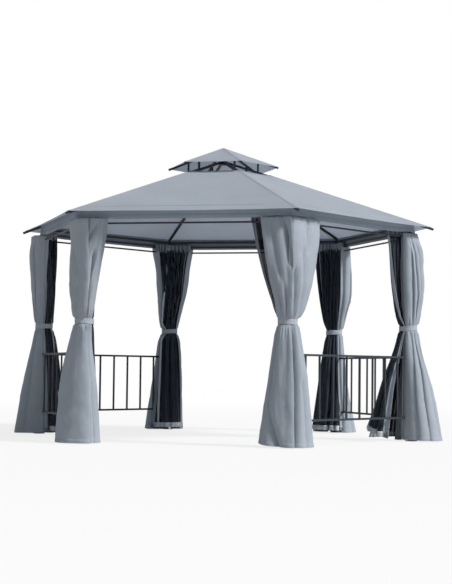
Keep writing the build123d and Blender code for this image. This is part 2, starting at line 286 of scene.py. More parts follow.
# A cloth from a grid of points, with its UV map in metres of cloth
def cloth_from_grid(name, points, uv, material, closed=False, thickness=CLOTH):
    rows, columns = points.shape[:2]
    faces = []
    last = columns if closed else columns - 1
    for row in range(rows - 1):
        for column in range(last):
            after = (column + 1) % columns
            faces.append((
                row * columns + column, row * columns + after,
                (row + 1) * columns + after, (row + 1) * columns + column,
            ))
    mesh = bpy.data.meshes.new(name)
    mesh.from_pydata([tuple(p) for p in points.reshape(-1, 3)], [], faces)
    layer = mesh.uv_layers.new(name="cloth")
    flat = uv.reshape(-1, 2)
    # Where a ring closes, its last faces run on in the UV map instead of going back to the start
    seam = uv[0, -1, 0] + (uv[0, -1, 0] - uv[0, -2, 0])
    for polygon in mesh.polygons:
        polygon.use_smooth = True
        closes = closed and polygon.index % last == last - 1
        for corner, loop in enumerate(polygon.loop_indices):
            u, v = flat[mesh.loops[loop].vertex_index]
            if closes and corner in (1, 2):
                u = seam
            layer.data[loop].uv = (u, v)
    piece = bpy.data.objects.new(name, mesh)
    bpy.context.scene.collection.objects.link(piece)
    mesh.materials.append(material)
    give_thickness(piece, thickness)
    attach(piece, "root")
    return piece


def give_thickness(piece, thickness):
    shell = piece.modifiers.new("thickness", "SOLIDIFY")
    shell.thickness = thickness
    shell.offset = 0
    only(piece)
    bpy.ops.object.modifier_apply(modifier="thickness")
    piece.select_set(False)


# The roof cloth lies just above the line of the hips, where its seams run, and is thicker on seams and hem
ABOVE_HIPS = 0.0012
SEAM_HALF_WIDTH = 0.011
SEAM_FOOT = 0.0135
SEAM_THICKNESS = 0.0014
ROOF_HEM_THICKNESS = 0.0008
# A panel's cloth down its slope for each metre of radius
CLOTH_PER_RADIUS = 0.94


# A pyramid roof sheet: straight over the hips, a little slack between them, with flat-felled seams and a hem
def roof_sheet(outer, inner, height, slack, hem, rows, steps):
    hem_rings = [outer, outer - 0.004, outer - hem]
    rings = hem_rings + [outer - hem - 0.003] + list(np.linspace(outer - 2 * hem, inner, rows))
    grid, uv = [], []
    for number, radius in enumerate(rings):
        ring, cloth = [], []
        # A hexagon's side is as long as its corners are far out
        width = radius
        lift = ROOF_HEM_THICKNESS if number < len(hem_rings) else 0.0
        along = (outer - radius) / (outer - inner)
        slack_here = 0.35 + 0.65 * sin(pi * min(along * 0.8 + 0.15, 1))
        beside_seam = list(np.linspace(0.03, max(width - 0.03, 0.031), steps))
        offsets = [0.0, SEAM_HALF_WIDTH, SEAM_FOOT] + beside_seam
        offsets += [width - SEAM_FOOT, width - SEAM_HALF_WIDTH]
        for side in range(6):
            first = polar(radius, SECTOR * side, height(radius))
            second = polar(radius, SECTOR * (side + 1), height(radius))
            for place, offset in enumerate(offsets):
                share = offset / width if width > 0.05 else place / len(offsets)
                share = min(max(share, 0), 1)
                # 0 on the hips and 1 midway between them
                between = 4 * share * (1 - share)
                point = first.lerp(second, share)
                sag = slack * between ** 0.8 * slack_here
                over_seam = SEAM_THICKNESS if place in (0, 1, len(offsets) - 1) else 0.0
                ripple = 0.0016 * noise.noise(point * 5.0) + 0.0025 * noise.noise(point * 1.8)
                above = ABOVE_HIPS + lift + over_seam - sag + ripple * between
                ring.append((point.x, point.y, point.z + above))
                across = side * outer + outer / 2 + (share - 0.5) * width
                cloth.append((across, radius * CLOTH_PER_RADIUS))
        grid.append(ring)
        uv.append(cloth)
    return np.array(grid), np.array(uv)


canopy_points, canopy_uv = roof_sheet(
    EAVE_RADIUS, CROWN_RADIUS, hip_height, slack=0.011, hem=0.028, rows=26, steps=22,
)
canopy = cloth_from_grid("roof_canopy", canopy_points, canopy_uv, roof_cloth, closed=True)
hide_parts(*["canopy_" + name for name in SIDES])

cap_points, cap_uv = roof_sheet(
    CAP_RADIUS, 0.004, cap_hip_height, slack=0.004, hem=0.022, rows=12, steps=10,
)
cap_cover = cloth_from_grid("roof_cap", cap_points, cap_uv, roof_cloth, closed=True)
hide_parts("cap_canopy")


# The valance: a hemmed strip under the eave, pushed out and up where the curtains bunch below it
def valance_sheet():
    steps = 46
    drops = [0.0, 0.012, 0.035, 0.06, 0.078, 0.0795, 0.092, 0.1095, 0.111]
    hem_top, hem_thickness = 0.0785, 0.0014
    pushed_out, pushed_up = 0.026, 0.012
    # At a corner the strip starts lower, under the rafter
    corner_width, under_rafter = 0.016, 1.9755
    length = 2 * (VALANCE_DISTANCE / APOTHEM) * sin(pi / 6)
    under_roof = EAVE_HEIGHT + ROOF_RISE / APOTHEM * (EAVE_RADIUS * APOTHEM - VALANCE_DISTANCE) - 0.001
    grid, uv = [], []
    for drop in drops:
        ring, cloth = [], []
        hanging = drop / drops[-1]
        thick = hem_thickness if drop > hem_top else 0.0
        for side in range(6):
            out = polar(1, facing(side))
            along = polar(1, facing(side) + 90)
            for step in range(steps):
                share = step / steps
                offset = (share - 0.5) * length
                corner_gap = min(offset + length / 2, length / 2 - offset)
                top = under_roof
                if corner_gap < corner_width:
                    top = min(top, under_rafter + 0.4 * drop)
                bunched = exp(-((corner_gap - 0.12) / 0.11) ** 2) * hanging ** 2
                wave = 0.004 * noise.noise(Vector((offset * 4.5 + side * 11, drop * 5, 2.0)))
                wave += 0.0016 * noise.noise(Vector((offset * 14 + side * 5, drop * 9, 7.0)))
                distance = VALANCE_DISTANCE + wave * hanging + pushed_out * bunched + thick
                place = out * distance + along * offset
                height = top - hanging * (top - VALANCE_BOTTOM) + pushed_up * bunched
                ring.append((place.x, place.y, height))
                cloth.append((side * length + share * length, drop))
        grid.append(ring)
        uv.append(cloth)
    return np.array(grid), np.array(uv)


valance_points, valance_uv = valance_sheet()
valance = cloth_from_grid(
    "roof_valance", valance_points, valance_uv, valance_cloth, closed=True,
)
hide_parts("valance")


# Curtains and nets: each level is a line on the post's own axes, outwards from the middle and across
# The heights at which the hang of a cloth is set, from its top over the tie to its hem
HANG_HEIGHTS = [1.893, 1.70, 1.42, 1.14, TIE_HEIGHT, 0.91, 0.50, 0.0]
# How far the cloth stands from the post at those heights, along each of its two rails and straight out,
# and the direction in which its two curtains meet, above and below the tie
HANGS = {
    "right": dict(
        a=(0.260, 0.250, 0.210, 0.140, 0.094, 0.120, 0.200, 0.260),
        b=(0.160, 0.156, 0.146, 0.116, 0.094, 0.104, 0.110, 0.112),
        out=(0.034, 0.096, 0.114, 0.074, 0.048, 0.072, 0.200, 0.300), meet=(30, 30), seed=0.13),
    "back_right": dict(
        a=(0.233, 0.215, 0.180, 0.130, 0.094, 0.120, 0.165, 0.235),
        b=(0.228, 0.224, 0.216, 0.124, 0.094, 0.106, 0.142, 0.248),
        out=(0.060, 0.100, 0.112, 0.070, 0.048, 0.070, 0.125, 0.200), meet=(0, 0), seed=0.37),
    "back_left": dict(
        a=(0.235, 0.182, 0.142, 0.122, 0.094, 0.136, 0.196, 0.268),
        b=(0.250, 0.218, 0.180, 0.112, 0.094, 0.124, 0.150, 0.166),
        out=(0.046, 0.075, 0.085, 0.060, 0.048, 0.070, 0.140, 0.200), meet=(0, 0), seed=0.61),
    "left": dict(
        a=(0.170, 0.145, 0.128, 0.108, 0.094, 0.110, 0.170, 0.220),
        b=(0.165, 0.150, 0.134, 0.112, 0.094, 0.112, 0.160, 0.200),
        out=(0.098, 0.124, 0.104, 0.070, 0.048, 0.072, 0.172, 0.252), meet=(-24, -24), seed=0.83),
    "front_left": dict(
        a=(0.225, 0.202, 0.155, 0.113, 0.094, 0.092, 0.142, 0.188),
        b=(0.235, 0.185, 0.158, 0.116, 0.096, 0.138, 0.212, 0.236),
        out=(0.088, 0.078, 0.092, 0.088, 0.048, 0.080, 0.172, 0.203), meet=(62, 58), seed=0.29),
    "front_right": dict(
        a=(0.333, 0.305, 0.245, 0.158, 0.094, 0.112, 0.180, 0.236),
        b=(0.240, 0.218, 0.175, 0.110, 0.094, 0.120, 0.172, 0.245),
        out=(0.060, 0.085, 0.095, 0.075, 0.048, 0.085, 0.160, 0.215), meet=(-14, -18), seed=0.47),
}
# The larger creases of each curtain: height and place across it at the upper end, then at the lower end,
# then depth, width as a share of the cloth, and how far the fold beside it leans over
CREASES = {
    ("right", "b"): [
        (1.90, 0.22, 1.03, 0.30, 0.034, 0.035, 0.4), (1.90, 0.40, 1.03, 0.52, 0.032, 0.035, 0.4),
        (1.80, 0.58, 1.08, 0.70, 0.020, 0.040, 0.4), (1.60, 0.80, 1.03, 0.84, 0.014, 0.060, 0.4),
        (1.00, 0.20, 0.00, 0.15, 0.028, 0.045, 0.7), (1.00, 0.38, 0.00, 0.34, 0.034, 0.050, 0.7),
        (1.00, 0.58, 0.00, 0.58, 0.026, 0.060, 0.5), (1.00, 0.80, 0.00, 0.80, 0.020, 0.060, 0.4),
    ],
    ("right", "a"): [
        (1.90, 0.30, 1.03, 0.40, 0.030, 0.040, 0.5), (1.90, 0.62, 1.03, 0.66, 0.030, 0.040, 0.5),
        (1.00, 0.36, 0.00, 0.30, 0.034, 0.050, 0.4), (1.00, 0.68, 0.00, 0.66, 0.028, 0.050, 0.4),
    ],
    ("front_right", "b"): [
        (1.90, 0.36, 1.40, 0.60, 0.026, 0.060, 0.3), (1.90, 0.68, 1.50, 0.95, 0.044, 0.034, 0.8),
        (1.46, 0.30, 1.05, 0.46, 0.024, 0.050, 0.4), (1.30, 0.74, 1.03, 0.72, 0.024, 0.045, 0.5),
        (1.00, 0.20, 0.34, 0.27, 0.044, 0.050, 0.1), (0.34, 0.27, 0.00, 0.66, 0.050, 0.045, 0.2),
    ],
    ("front_right", "a"): [
        (1.90, 0.44, 1.62, 0.50, 0.044, 0.030, 0.8), (1.62, 0.62, 1.04, 0.52, 0.036, 0.055, 0.6),
        (1.45, 0.86, 1.04, 0.72, 0.034, 0.042, 0.7), (1.00, 0.42, 0.00, 0.30, 0.030, 0.050, 0.5),
        (0.55, 0.62, 0.00, 0.58, 0.030, 0.040, 0.4), (1.00, 0.76, 0.00, 0.83, 0.052, 0.036, 0.3),
    ],
    ("front_left", "b"): [
        (1.66, 0.52, 1.40, 0.76, 0.018, 0.055, 0.5), (1.52, 0.40, 1.28, 0.58, 0.016, 0.050, 0.5),
        (1.34, 0.74, 1.03, 0.60, 0.020, 0.045, 0.4), (1.22, 0.40, 1.03, 0.44, 0.020, 0.045, 0.4),
        (1.00, 0.62, 0.30, 0.70, 0.018, 0.060, 0.4), (1.00, 0.30, 0.00, 0.24, 0.020, 0.070, 0.3),
        (0.34, 0.55, 0.12, 0.70, 0.014, 0.055, 0.4),
    ],
    ("front_left", "a"): [
        (1.90, 0.34, 1.70, 0.82, 0.028, 0.045, 0.7), (1.60, 0.58, 1.03, 0.62, 0.030, 0.050, 0.5),
        (1.30, 0.86, 1.03, 0.84, 0.018, 0.040, 0.5), (1.00, 0.74, 0.00, 0.70, 0.036, 0.050, 0.4),
        (1.00, 0.40, 0.00, 0.34, 0.022, 0.065, 0.4),
    ],
    ("left", "b"): [
        (1.90, 0.42, 1.03, 0.46, 0.018, 0.050, 0.4), (1.00, 0.52, 0.00, 0.48, 0.026, 0.055, 0.4),
        (1.00, 0.26, 0.00, 0.20, 0.020, 0.055, 0.4),
    ],
    ("left", "a"): [
        (1.90, 0.26, 1.03, 0.34, 0.022, 0.040, 0.6), (1.84, 0.62, 1.03, 0.66, 0.016, 0.060, 0.4),
        (1.00, 0.32, 0.00, 0.28, 0.024, 0.050, 0.4), (1.00, 0.66, 0.00, 0.62, 0.016, 0.070, 0.4),
    ],
}
# The curtains at the two back posts all have the same larger creases
PLAIN_CREASES = [
    (1.90, 0.22, 1.03, 0.28, 0.030, 0.040, 0.5), (1.90, 0.50, 1.20, 0.56, 0.026, 0.045, -0.5),
    (1.70, 0.76, 1.03, 0.72, 0.024, 0.045, 0.5), (1.00, 0.30, 0.00, 0.24, 0.032, 0.050, 0.4),
    (1.00, 0.58, 0.00, 0.56, 0.028, 0.050, -0.4), (1.00, 0.80, 0.00, 0.84, 0.022, 0.050, 0.4),
]
# The points across the outer and the inner run of a curtain, and across a net
OUTER_STEPS = 88
INNER_STEPS = 44
NET_STEPS = 78
# The steps of height above and below the tie
CURTAIN_LEVELS = (42, 38)
NET_LEVELS = (30, 30)
CURTAIN_WIDTH = 0.90
CURTAIN_TOP = 1.893
CURTAIN_BOTTOM = 0.007
NET_WIDTH = 0.90
NET_TOP = 1.905
NET_BOTTOM = 0.030
HEM_DEPTH = 0.029
HEADER_DEPTH = 0.046
TIE_RADIUS = 0.078
TIE_CENTRE = -0.030
# How deep the close folds of a curtain's inner run and of a net are at the set heights
INNER_FOLDS = (0.007, 0.018, 0.016, 0.010, 0.006, 0.014, 0.022, 0.024)
NET_FOLDS = (0.014, 0.021, 0.022, 0.016, 0.010, 0.018, 0.032, 0.040)
# The free edge of curtain b laps over that of curtain a
LAPS = {"a": -0.010, "b": 0.016}
# How much higher the hem of a curtain hangs at its post than at its free edge
HEM_RISES = {("front_right", "b"): 0.060, ("left", "a"): 0.015, ("right", "b"): 0.012}
# How much higher the hem of a net hangs at its inner edge than at its rod's end
NET_RISES = {("right", "b"): 0.10}
# The direction in which a net ends, and that of the one net that wraps further round
NET_END = 190
NET_ENDS = {("back_left", "b"): 222}
# How far a net stays inside its curtain, unless its reach is set by itself
NET_INSIDE = 0.014
# How far some nets stand along their rods at the set heights, where that isn't just inside their curtain
NET_REACH = {
    ("right", "b"): (0.345, 0.312, 0.255, 0.165, 0.100, 0.130, 0.260, 0.360),
    ("front_right", "b"): (0.330, 0.292, 0.222, 0.130, 0.085, 0.085, 0.115, 0.165),
    ("front_right", "a"): (0.270, 0.230, 0.170, 0.110, 0.080, 0.080, 0.095, 0.115),
    ("front_left", "a"): (0.195, 0.165, 0.120, 0.085, 0.076, 0.066, 0.070, 0.075),
    ("left", "b"): (0.150, 0.142, 0.126, 0.106, 0.088, 0.130, 0.185, 0.210),
}
# How far the nets stand into the room
INTO_ROOM = {
    "right": (0.040, 0.060, 0.085, 0.100, 0.104, 0.110, 0.225, 0.365),
    "back_right": (0.040, 0.060, 0.085, 0.100, 0.104, 0.115, 0.150, 0.200),
    "back_left": (0.040, 0.060, 0.085, 0.100, 0.104, 0.115, 0.140, 0.170),
    "left": (0.040, 0.060, 0.085, 0.100, 0.104, 0.115, 0.150, 0.200),
    "front_left": (0.040, 0.060, 0.085, 0.100, 0.104, 0.108, 0.115, 0.120),
    "front_right": (0.040, 0.060, 0.085, 0.100, 0.104, 0.108, 0.120, 0.130),
}


# A smooth value through the set heights, without overshoot
def along_heights(values, height):
    heights, values = np.array(HANG_HEIGHTS[::-1]), np.array(values[::-1], dtype=float)
    slopes = np.diff(values) / np.diff(heights)
    tangents = np.zeros(len(values))
    for number in range(1, len(values) - 1):
        before, after = slopes[number - 1], slopes[number]
        tangents[number] = 0.0 if before * after <= 0 else 2 * before * after / (before + after)
    tangents[0], tangents[-1] = slopes[0], slopes[-1]
    height = min(max(height, heights[0]), heights[-1])
    step = min(max(int(np.searchsorted(heights, height)) - 1, 0), len(slopes) - 1)
    span = heights[step + 1] - heights[step]
    t = (height - heights[step]) / span
    return (
        (2 * t ** 3 - 3 * t ** 2 + 1) * values[step] + (t ** 3 - 2 * t ** 2 + t) * span * tangents[step]
        + (3 * t ** 2 - 2 * t ** 3) * values[step + 1] + (t ** 3 - t ** 2) * span * tangents[step + 1]
    )


def eased(part):
    part = np.clip(part, 0, 1)
    return part ** 2 * (3 - 2 * part)


# The cloth follows its straight rail at the top and is round lower down
def straightness(height):
    return along_heights((1, 0.75, 0.35, 0.05, 0, 0, 0, 0), height)


# The distance from the post's axis in a direction
def cloth_distance(turns, side_reach, out_reach, straight):
    rounded = out_reach + (side_reach - out_reach) * eased(np.abs(turns) / 120)
    lean = np.cos(np.radians(np.abs(turns) - 30))
    beside = np.minimum(side_reach, out_reach / np.maximum(lean, out_reach / side_reach))
    return straight * beside + (1 - straight) * rounded


def evenly_along(line, shares):
    gone = np.concatenate([[0], np.cumsum(np.linalg.norm(np.diff(line, axis=0), axis=1))])
    return np.stack([np.interp(shares * gone[-1], gone, line[:, axis]) for axis in (0, 1)], axis=1)


def from_turns(turns, distances):
    return distances[:, None] * np.stack([np.cos(np.radians(turns)), np.sin(np.radians(turns))], axis=1)


def smoothed(line, times):
    for _ in range(times):
        line = np.concatenate([line[:1], (line[:-2] + 2 * line[1:-1] + line[2:]) / 4, line[-1:]])
    return line


def directions_of(line):
    tangent = np.gradient(line, axis=0)
    tangent /= np.linalg.norm(tangent, axis=1)[:, None] + 1e-9
    return tangent, np.stack([-tangent[:, 1], tangent[:, 0]], axis=1)


# Steps down the cloth, closer together at its top, at the tie and at its hem
def cloth_levels(top, bottom, above, below):
    steps = []
    for first, last, count in ((top, TIE_HEIGHT, above), (TIE_HEIGHT, bottom, below)):
        share = np.linspace(0, 1, count)
        steps += list(first + (last - first) * (share - 0.048 * np.sin(2 * pi * share)))
    edges = [bottom + HEM_DEPTH + 0.001, bottom + HEM_DEPTH - 0.001, bottom + 0.003]
    edges += [top - HEADER_DEPTH + 0.001, top - HEADER_DEPTH - 0.001]
    return np.array(sorted(set(steps + edges), reverse=True))


# A sharp valley between two rounded folds
def crease_shape(offset, width):
    return 0.66 * np.exp(-np.abs(offset / width) ** 1.15) + 0.34 * np.exp(-(offset / (2.6 * width)) ** 2)


def crease_offsets(places, height, creases):
    inward, sideways = np.zeros(len(places)), np.zeros(len(places))
    for upper, upper_place, lower, lower_place, depth, width, lean in creases:
        part = (upper - height) / (upper - lower)
        begins = eased((upper + 0.05 - height) / 0.10)
        ends = eased((height - lower + 0.05) / 0.10)
        # A crease that starts at the header is there from the top, and one that reaches the hem doesn't end
        if upper > 1.85:
            begins = 0.30 + 0.70 * eased((upper - height) / 0.16)
        if lower < 0.02:
            ends = 1
        near_tie = 0.35 + 0.65 * eased(abs(height - TIE_HEIGHT) / 0.16)
        bend = 0.02 * sin(7 * height + 30 * width)
        place = upper_place + (lower_place - upper_place) * part + bend
        shape = depth * begins * ends * near_tie * crease_shape(places - place, width)
        inward += shape
        sideways += lean * shape
    return inward, sideways


# The heights of the lines that the cloth keeps from its packing
PACKING_LINES = (0.36, 0.72, 1.34)


# Small puckers where the tie and the header draw the cloth together, soft wrinkles and packing lines
def small_folds(places, height, seed):
    at_tie = 0.0050 * exp(-abs(height - TIE_HEIGHT) / 0.075)
    at_top = 0.0030 * exp(-(CURTAIN_TOP - height) / 0.06)
    puckers = np.cos(2 * pi * (10.5 * places + 0.4 * np.sin(9 * places + seed * 20)))
    gathers = np.cos(2 * pi * (8.5 * places + 0.5 * np.sin(7 * places + seed * 31)))
    soft = np.array([
        0.0075 * noise.noise(Vector((place * 3.2 + seed * 40, height * 1.7, seed * 9)))
        + 0.0038 * noise.noise(Vector((place * 7.0 + height * 3.5, height * 8.0, seed * 17 + 3)))
        + 0.0013 * noise.noise(Vector((place * 16, height * 24.0 + place * 8, seed * 5 + 8)))
        for place in places
    ])
    pressed = sum(
        0.0030 * exp(-((height - line) / 0.014) ** 2) * np.sin(pi * places * 1.7 + line * 9)
        for line in PACKING_LINES
    )
    return at_tie * puckers + at_top * gathers + soft + pressed


# What the tie holds stays inside it, and spreads again above and below
def held_by_tie(line, height):
    centre = np.array([TIE_CENTRE, 0.0])
    from_centre = line - centre
    distance = np.linalg.norm(from_centre, axis=1)
    limit = TIE_RADIUS - 0.001 + 1.6 * max(0.0, abs(height - TIE_HEIGHT) - 0.026)
    keep = np.minimum(1, limit / np.maximum(distance, 1e-6))
    return centre + from_centre * keep[:, None]


def to_world(line, corner, way, heights):
    out = np.array([cos(radians(SECTOR * corner)), sin(radians(SECTOR * corner))])
    along = np.array([-out[1], out[0]]) * way
    flat = out[None, :] * (POST_CIRCLE + line[:, :1]) + along[None, :] * line[:, 1:]
    return np.column_stack([flat, heights * np.ones(len(line))])


# The smooth outer run of a curtain, from its far end on the rail round to its free edge
def outer_run(post, side, level, side_reach, seed):
    places = np.linspace(0, 1, OUTER_STEPS)
    above, below = HANGS[post]["meet"]
    meet = below + (above - below) * eased((level - 0.95) / 0.3)
    turns = np.linspace(119, meet * (1 if side == "a" else -1) - 10, 160)
    out_reach = along_heights(HANGS[post]["out"], level)
    line = from_turns(turns, cloth_distance(turns, side_reach, out_reach, straightness(level)))
    line = smoothed(evenly_along(line, places), 3)
    tangent, normal = directions_of(line)
    inward, sideways = crease_offsets(places, level, CREASES.get((post, side), PLAIN_CREASES))
    edge = np.minimum(1, np.minimum(places, 1 - places) / 0.05)
    hem = 0.0013 if level < CURTAIN_BOTTOM + HEM_DEPTH else 0.0
    header = 0.0012 if level > CURTAIN_TOP - HEADER_DEPTH else 0.0
    lap = LAPS[side] * eased((places - 0.80) / 0.18)
    raised = small_folds(places, level, seed) + hem + header + lap - inward * edge
    return line + normal * raised[:, None] + tangent * (sideways * edge)[:, None]


# The inner run of a curtain, which takes up the spare cloth in close folds
def inner_run(level, side_reach, seed):
    places = np.linspace(0, 1, INNER_STEPS)
    straight = straightness(level)
    turns = np.linspace(162, 123, 80)
    beside = np.minimum(0.94 * side_reach, 0.022 / np.maximum(-np.cos(np.radians(turns - 30)), 0.01))
    rounded = side_reach * (0.90 - 0.52 * (turns - 123) / 39)
    line = evenly_along(from_turns(turns, straight * beside + (1 - straight) * rounded), places)
    tangent, normal = directions_of(line)
    angle = 2 * pi * (6.5 * places + 0.25 * np.sin(5 * places + seed * 12))
    room = along_heights(INNER_FOLDS, level)
    room = room * np.minimum(1, np.minimum(places, 1 - places) / 0.12)
    line = line + normal * (room * np.cos(angle))[:, None]
    return line - tangent * (0.4 * room * np.sin(2 * angle))[:, None]


# One curtain: the inner run, a turn at its far end on the rail, and the outer run
def curtain_points(corner, post, side, way):
    seed = HANGS[post]["seed"] + (0.31 if side == "b" else 0.0)
    levels = cloth_levels(CURTAIN_TOP, CURTAIN_BOTTOM, *CURTAIN_LEVELS)
    rows = []
    for level in levels:
        side_reach = along_heights(HANGS[post][side], level)
        inner = inner_run(level, side_reach, seed)
        outer = outer_run(post, side, level, side_reach, seed)
        line = np.concatenate([inner, outer])
        line[INNER_STEPS - 6:INNER_STEPS + 6] = smoothed(line[INNER_STEPS - 9:INNER_STEPS + 9], 5)[3:-3]
        shares = np.linspace(0, 1, len(line))
        rise = HEM_RISES.get((post, side), 0) * (1 - shares) ** 1.5 * eased(1 - level / TIE_HEIGHT)
        rows.append(to_world(held_by_tie(line, level), corner, way, level + rise))
    return np.array(rows), levels


def cloth_uv(rows, levels, width):
    shares = np.linspace(0, 1, rows.shape[1])
    return np.array([[(share * width, levels[0] - level) for share in shares] for level in levels])


def curtain(corner, post, side, way):
    points, levels = curtain_points(corner, post, side, way)
    uv = cloth_uv(points, levels, CURTAIN_WIDTH)
    piece = cloth_from_grid("curtain_" + side + "_" + post, points, uv, curtain_cloth)
    return piece


# How far a net stands along its rod at the set heights
def net_reaches(post, side):
    return NET_REACH.get((post, side), [reach - NET_INSIDE for reach in HANGS[post][side]])


def net_points(corner, post, side, way):
    seed = HANGS[post]["seed"] + (0.17 if side == "a" else 0.44)
    reaches = net_reaches(post, side)
    wraps = (post, side) in NET_ENDS
    places = np.linspace(0, 1, NET_STEPS)
    levels = cloth_levels(NET_TOP, NET_BOTTOM, *NET_LEVELS)
    rows = []
    for level in levels:
        side_reach = along_heights(reaches, level)
        straight = straightness(level)
        turns = np.linspace(122, NET_ENDS.get((post, side), NET_END), 120)
        beside = 0.036 / np.maximum(np.abs(np.cos(np.radians(np.minimum(turns, 172) - 30))), 0.01)
        inner_reach = along_heights(INTO_ROOM[post], level)
        rounded = side_reach + (inner_reach - side_reach) * eased((turns - 122) / 68)
        over = (1 - 0.7 * straight) * 0.060 * eased((turns - 175) / 20) * wraps
        distances = straight * np.minimum(side_reach, beside) + (1 - straight) * rounded + over
        line = evenly_along(from_turns(turns, distances), places)
        tangent, normal = directions_of(line)
        angle = 2 * pi * (5.5 * places + 0.35 * np.sin(6 * places + seed * 15) + seed)
        room = along_heights(NET_FOLDS, level)
        at_rod_end = np.clip((places - 0.06) / 0.16, 0.12, 1)
        at_inner_edge = np.minimum(1, (1 - places) / 0.05 + 0.3)
        room = room * np.minimum(at_rod_end, at_inner_edge)
        soft = np.array([
            0.010 * noise.noise(Vector((place * 4 + seed * 30, level * 2.3, seed * 7)))
            for place in places
        ])
        line = line + normal * (room * (np.cos(angle) - 0.2 * np.cos(2 * angle)) + soft)[:, None]
        line = line + tangent * (0.4 * room * np.sin(2 * angle))[:, None]
        under_tie = 1 - (min(level, TIE_HEIGHT) - NET_BOTTOM) / (TIE_HEIGHT - NET_BOTTOM)
        rise = NET_RISES.get((post, side), 0) * places * under_tie ** 2
        rows.append(to_world(held_by_tie(line, level), corner, way, level + rise))
    return np.array(rows), levels


# The net, and the woven bands that bind it: a header above the rod with a scalloped lower edge, a hem,
# and a band on each upright edge
def net(corner, post, side, way):
    points, levels = net_points(corner, post, side, way)
    uv = cloth_uv(points, levels, NET_WIDTH)
    end = side + "_" + post
    piece = cloth_from_grid("net_" + end, points, uv, net_cloth, thickness=0.0008)
    header_rows, header_top, header_bottom, scallop_depth = 6, 1.938, 1.878, 0.026
    header = np.repeat(points[:1], header_rows, axis=0)
    scallop = scallop_depth * np.abs(np.sin(5.5 * pi * np.linspace(0, 1, points.shape[1])))
    for row, height in enumerate(np.linspace(header_top, header_bottom, header_rows)):
        header[row, :, 2] = height - scallop * (row / (header_rows - 1)) ** 2
    # The hem and the selvedge take the woven tape drawn lighter, as painted light
    bands = [
        ("header", header, uv[:header_rows], header_cloth), ("hem", points[-6:], uv[-6:], painted_light_tape),
        ("edge", points[:, :12], uv[:, :12], curtain_cloth),
        ("selvedge", points[:, -5:], uv[:, -5:], painted_light_tape),
    ]
    bound = [
        cloth_from_grid("net_" + name + "_" + end, grid, flat, cloth, thickness=0.003)
        for name, grid, flat, cloth in bands
    ]


# The tie: a woven band drawn round both curtains and both nets
def tie_band(corner, post):
    steps, radius = 72, TIE_RADIUS + 0.0022
    drops = [-0.0225, -0.0205, -0.012, 0.0, 0.012, 0.0205, 0.0225]
    stitched_rows, stitched_thickness = (1, 5), 0.0012
    grid, uv = [], []
    seed = HANGS[post]["seed"]
    centre = polar(POST_CIRCLE + TIE_CENTRE, SECTOR * corner)
    for row, drop in enumerate(drops):
        ring, cloth = [], []
        edge = stitched_thickness if row in stitched_rows else 0.0
        for step in range(steps):
            turn = 2 * pi * step / steps
            wrinkle = 0.0042 * noise.noise(Vector((cos(turn) * 7, sin(turn) * 7, seed * 9 + drop * 22)))
            place = centre + polar(radius + abs(wrinkle) + edge, SECTOR * corner + degrees(turn))
            ring.append((place.x, place.y, TIE_HEIGHT - drop + 0.005 * sin(turn + seed * 6)))
            cloth.append((radius * turn, drop))
        grid.append(ring)
        uv.append(cloth)
    piece = cloth_from_grid(
        "tie_" + post, np.array(grid), np.array(uv), band_cloth,
        closed=True, thickness=0.002,
    )


for corner, post in enumerate(POSTS):
    first = curtain(corner, post, "a", 1)
    curtain(corner, post, "b", -1)
    net(corner, post, "a", 1)
    net(corner, post, "b", -1)
    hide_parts("curtain_" + post)
    tie_band(corner, post)


# Small moulded and turned pieces are each modelled once and copied round the frame
# Adds a primitive, and applies its place, turn and size to its mesh
def primitive(add, **settings):
    bpy.ops.object.select_all(action="DESELECT")
    add(**settings)
    bpy.ops.object.transform_apply(location=True, rotation=True, scale=True)
    return bpy.context.active_object


# Goes into edit mode with the wanted faces selected
def edit_faces(thing, wanted):
    only(thing)
    bpy.ops.object.mode_set(mode="EDIT")
    bpy.ops.mesh.select_all(action="DESELECT")
    bpy.ops.object.mode_set(mode="OBJECT")
    for polygon in thing.data.polygons:
        polygon.select = wanted(polygon)
    bpy.ops.object.mode_set(mode="EDIT")
    bpy.ops.mesh.select_mode(type="FACE")


def settled(thing):
    bpy.ops.object.mode_set(mode="OBJECT")
    only(thing)
    bpy.ops.object.transform_apply(location=True, rotation=True, scale=True)
    bpy.ops.object.mode_set(mode="EDIT")
    bpy.ops.mesh.select_all(action="SELECT")
    bpy.ops.mesh.normals_make_consistent(inside=False)
    bpy.ops.object.mode_set(mode="OBJECT")


def joined(things, name):
    bpy.ops.object.select_all(action="DESELECT")
    for thing in things:
        thing.select_set(True)
    bpy.context.view_layer.objects.active = things[0]
    bpy.ops.object.join()
    things[0].name = name
    return things[0]


def placed_copies(pattern, places, name, material, angle=30):
    copies = []
    for place in places:
        copy = pattern.copy()
        copy.data = pattern.data.copy()
        copy.data.transform(place)
        bpy.context.scene.collection.objects.link(copy)
        copies.append(copy)
    piece = joined(copies, name)
    only(piece)
    bpy.ops.object.shade_smooth_by_angle(angle=radians(angle))
    piece.data.materials.clear()
    piece.data.materials.append(material)
    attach(piece, "root")


def put_away(pattern):
    mesh = pattern.data
    bpy.data.objects.remove(pattern)
    bpy.data.meshes.remove(mesh)


# A rafter's end cap: a square plug with a raised middle and softened edges
def end_cap(width):
    depth, raised = 0.005, 0.0018
    cap = primitive(
        bpy.ops.mesh.primitive_cube_add, size=1, location=(depth / 2, 0, 0), scale=(depth, width, width),
    )
    edit_faces(cap, lambda polygon: polygon.normal.x > 0.9)
    bpy.ops.mesh.inset(thickness=width * 0.14)
    bpy.ops.mesh.extrude_region_move(TRANSFORM_OT_translate={"value": (raised, 0, 0)})
    bpy.ops.mesh.select_all(action="SELECT")
    bpy.ops.mesh.bevel(offset=0.0006, segments=2, affect="EDGES")
    settled(cap)
    return cap


